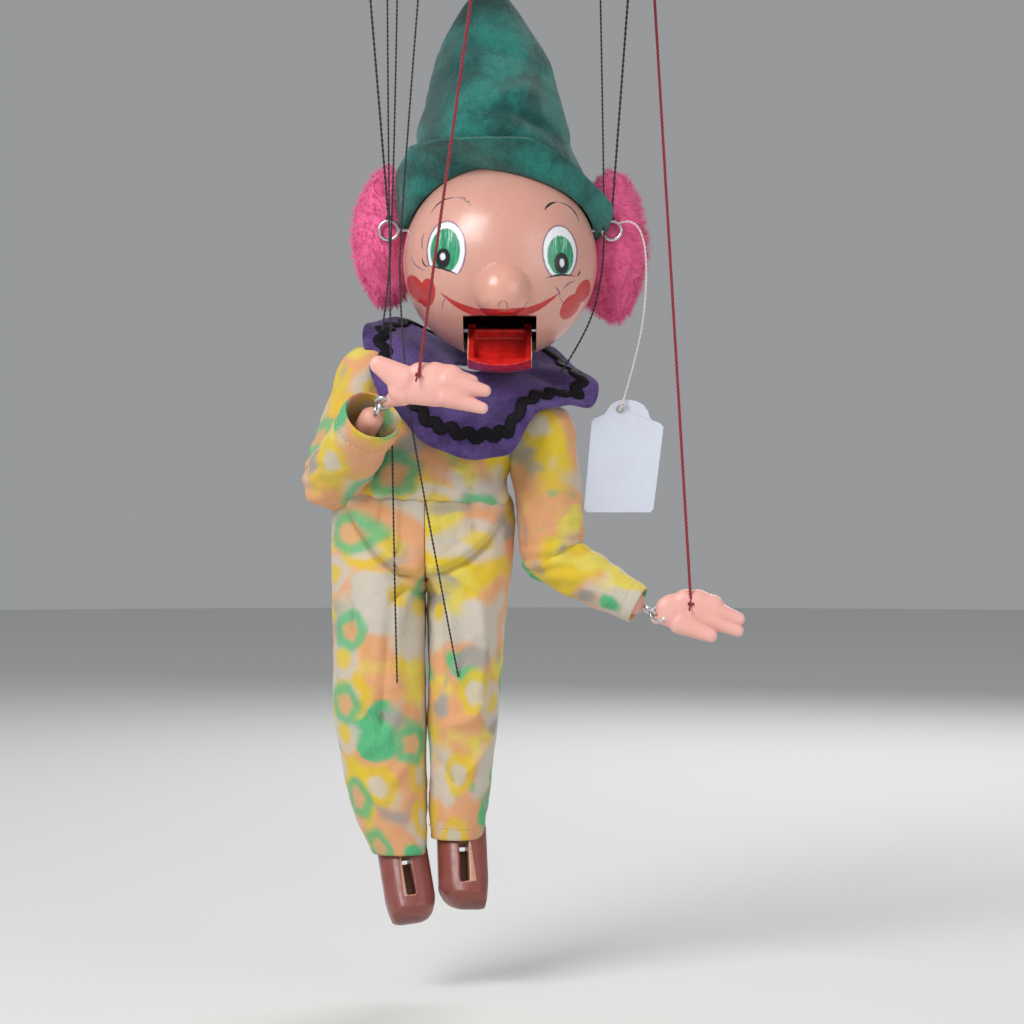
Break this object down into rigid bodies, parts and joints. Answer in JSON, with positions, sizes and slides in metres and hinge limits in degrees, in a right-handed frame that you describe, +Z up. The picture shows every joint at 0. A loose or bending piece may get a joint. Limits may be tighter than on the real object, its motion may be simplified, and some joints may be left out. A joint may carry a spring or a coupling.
{
  "type": "marionette puppet",
  "caption": "Jointed clown marionette with a ball head, moving jaw, felt hat and ruff and a printed jumpsuit, hung by strings from a wooden control.",
  "frame": {"origin": "centre of the hanging hole in the control's main bar", "axes": "+Z up, the puppet faces -Y, its own right side is at -X"},
  "size_m": [0.1686, 0.123, 0.3957],
  "materials": {
    "control_wood": "bare, sanded",
    "peg_wood": "bare",
    "black_string": "waxed thread",
    "red_string": "twisted thread",
    "head_paint": "satin paint on a moulded hollow ball",
    "jaw_paint": "gloss paint",
    "wire": "bright wire",
    "hair_fur": "long soft pile",
    "hat_felt": "wool felt",
    "ruff_felt": "wool felt",
    "braid": "woven wavy braid",
    "body_wood": "painted dowel and block",
    "printed_cotton": "printed plain weave",
    "hand_paint": "satin paint",
    "foot_paint": "gloss paint",
    "tag_card": "smooth card",
    "tag_cotton": "soft twisted cotton"
  },
  "bodies": {
    "control": {"main_bar": "control_wood", "head_bar": "control_wood", "leg_bar": "control_wood", "bar_pegs": "peg_wood"},
    "sling": {"head_string_r": "black_string", "head_string_l": "black_string", "shoulder_string_r": "black_string", "shoulder_string_l": "black_string", "hand_string_r": "red_string", "hand_string_l": "red_string", "knee_string_r": "black_string", "knee_string_l": "black_string"},
    "head": {"head_shell": "head_paint", "head_eyes": "wire", "jaw_pin": "wire", "hair_tufts": "hair_fur", "hat": "hat_felt"},
    "jaw": {"jaw": "jaw_paint"},
    "torso": {"chest_block": "body_wood", "torso_eyes": "wire", "neck_hook": "wire", "ruff": "ruff_felt", "ruff_braid": "braid", "bodice": "printed_cotton"},
    "pelvis": {"pelvis_block": "body_wood", "pelvis_eyes": "wire", "trouser_seat": "printed_cotton"},
    "tag": {"tag": "tag_card", "tag_thread": "tag_cotton"},
    "upper_arm_r": {"upper_arm_r": "body_wood", "arm_eye_r": "wire", "elbow_pin_r": "wire", "sleeve_r": "printed_cotton"},
    "forearm_r": {"forearm_r": "body_wood", "wrist_staple_r": "wire"},
    "hand_r": {"hand_r": "hand_paint", "hand_eye_r": "wire"},
    "thigh_r": {"thigh_r": "body_wood", "thigh_eye_r": "wire", "knee_pin_r": "wire", "trouser_leg_r": "printed_cotton"},
    "shin_r": {"shin_r": "body_wood"},
    "foot_r": {"foot_r": "foot_paint", "ankle_pin_r": "wire"},
    "upper_arm_l": {"upper_arm_l": "body_wood", "arm_eye_l": "wire", "elbow_pin_l": "wire", "sleeve_l": "printed_cotton"},
    "forearm_l": {"forearm_l": "body_wood", "wrist_staple_l": "wire"},
    "hand_l": {"hand_l": "hand_paint", "hand_eye_l": "wire"},
    "thigh_l": {"thigh_l": "body_wood", "thigh_eye_l": "wire", "knee_pin_l": "wire", "trouser_leg_l": "printed_cotton"},
    "shin_l": {"shin_l": "body_wood"},
    "foot_l": {"foot_l": "foot_paint", "ankle_pin_l": "wire"}
  },
  "joints": [
    {"name": "swing", "type": "hinge", "parent": "control", "child": "sling", "pos_m": [0, 0.003, -0.014], "axis": [1, 0, 0], "range_deg": [-12, 12], "deforming": ["head_string_r", "head_string_l", "shoulder_string_r", "shoulder_string_l", "hand_string_r", "hand_string_l", "knee_string_r", "knee_string_l"]},
    {"name": "head_nod", "type": "hinge", "parent": "sling", "child": "head", "pos_m": [0.0004, 0.003, -0.1188], "axis": [1, 0, 0], "range_deg": [-12, 12], "deforming": ["ruff", "ruff_braid"]},
    {"name": "jaw_shut", "type": "hinge", "parent": "head", "child": "jaw", "pos_m": [0.0004, -0.008, -0.1584], "axis": [-1, 0, 0], "range_deg": [0, 38]},
    {"name": "torso_bow", "type": "hinge", "parent": "sling", "child": "torso", "pos_m": [-0.01705, 0.0005, -0.1856], "axis": [0.9532, -0.0142, -0.3021], "range_deg": [-8, 8]},
    {"name": "waist_bend", "type": "hinge", "parent": "torso", "child": "pelvis", "pos_m": [-0.0326, 0, -0.2226], "axis": [1, 0, 0], "range_deg": [-10, 10], "deforming": ["bodice"]},
    {"name": "tag_swing", "type": "hinge", "parent": "sling", "child": "tag", "pos_m": [0.0466, 0.0018, -0.1162], "axis": [1, 0, 0], "range_deg": [-15, 15], "deforming": ["tag_thread"]},
    {"name": "shoulder_r", "type": "hinge", "parent": "torso", "child": "upper_arm_r", "pos_m": [-0.0505, 0.001, -0.175], "axis": [-0.6, 0, -0.8], "range_deg": [0, 30]},
    {"name": "elbow_r", "type": "hinge", "parent": "upper_arm_r", "child": "forearm_r", "pos_m": [-0.0634, -0.008, -0.2173], "axis": [-0.9167, -0.2282, 0.3281], "range_deg": [-40, 0], "deforming": ["sleeve_r"]},
    {"name": "wrist_r", "type": "hinge", "parent": "forearm_r", "child": "hand_r", "pos_m": [-0.04412, -0.04388, -0.18837], "axis": [0.105, 0.6578, 0.7458], "range_deg": [-20, 20]},
    {"name": "hip_r", "type": "hinge", "parent": "pelvis", "child": "thigh_r", "pos_m": [-0.0456, 0.001, -0.2484], "axis": [-1, 0, 0], "range_deg": [0, 55], "deforming": ["trouser_seat"]},
    {"name": "knee_r", "type": "hinge", "parent": "thigh_r", "child": "shin_r", "pos_m": [-0.0441, -0.002, -0.3042], "axis": [1, 0, 0], "range_deg": [0, 75], "deforming": ["trouser_leg_r"]},
    {"name": "ankle_r", "type": "hinge", "parent": "shin_r", "child": "foot_r", "pos_m": [-0.0376, 0.001, -0.3615], "axis": [-0.9813, -0.1513, -0.1192], "range_deg": [0, 35]},
    {"name": "shoulder_l", "type": "hinge", "parent": "torso", "child": "upper_arm_l", "pos_m": [0.0164, 0, -0.1962], "axis": [-0.7071, -0.7071, 0], "range_deg": [0, 45]},
    {"name": "elbow_l", "type": "hinge", "parent": "upper_arm_l", "child": "forearm_l", "pos_m": [0.021, -0.003, -0.2475], "axis": [-0.2114, -0.9767, 0.0382], "range_deg": [-25, 40], "deforming": ["sleeve_l"]},
    {"name": "wrist_l", "type": "hinge", "parent": "forearm_l", "child": "hand_l", "pos_m": [0.06028, -0.01231, -0.26816], "axis": [-0.0752, -0.9549, 0.2872], "range_deg": [-25, 25]},
    {"name": "hip_l", "type": "hinge", "parent": "pelvis", "child": "thigh_l", "pos_m": [-0.0136, 0.001, -0.2484], "axis": [-1, 0, 0], "range_deg": [0, 55]},
    {"name": "knee_l", "type": "hinge", "parent": "thigh_l", "child": "shin_l", "pos_m": [-0.014, -0.002, -0.3023], "axis": [1, 0, 0], "range_deg": [0, 75], "deforming": ["trouser_leg_l"]},
    {"name": "ankle_l", "type": "hinge", "parent": "shin_l", "child": "foot_l", "pos_m": [-0.0146, 0.003, -0.3565], "axis": [-0.9945, -0.1047, 0.0014], "range_deg": [0, 35]}
  ]
}
